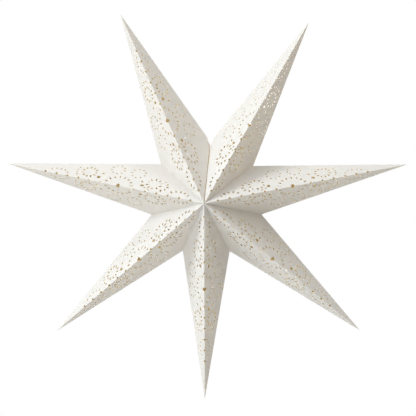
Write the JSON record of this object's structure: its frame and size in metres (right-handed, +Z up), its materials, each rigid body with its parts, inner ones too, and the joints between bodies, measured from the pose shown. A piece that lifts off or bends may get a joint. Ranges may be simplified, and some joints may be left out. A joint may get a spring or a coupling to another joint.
{
  "type": "paper star lampshade",
  "caption": "Pointed hanging star of folded white card, pierced with dotted rosettes, that hides and softens a lamp hung at its centre.",
  "frame": {"origin": "the middle of the star, halfway between its front and back centres, where the lamp hangs", "axes": "+X to the star's right as the front is looked at, +Y from its front to its back, +Z up, towards the cord opening"},
  "size_m": [0.5908, 0.16, 0.5719],
  "materials": {
    "card": "matt white card, slightly warm",
    "tape": "woven white hook and loop tape"
  },
  "bodies": {
    "root": {"point_right": "card", "point_upper_right": "card", "point_upper_left": "card", "point_left": "card", "point_lower_left": "card", "point_bottom": "card", "point_lower_right": "card", "hook_tape_front": "tape", "loop_tape_front": "tape", "hook_tape_back": "tape", "loop_tape_back": "tape"}
  },
  "joints": []
}
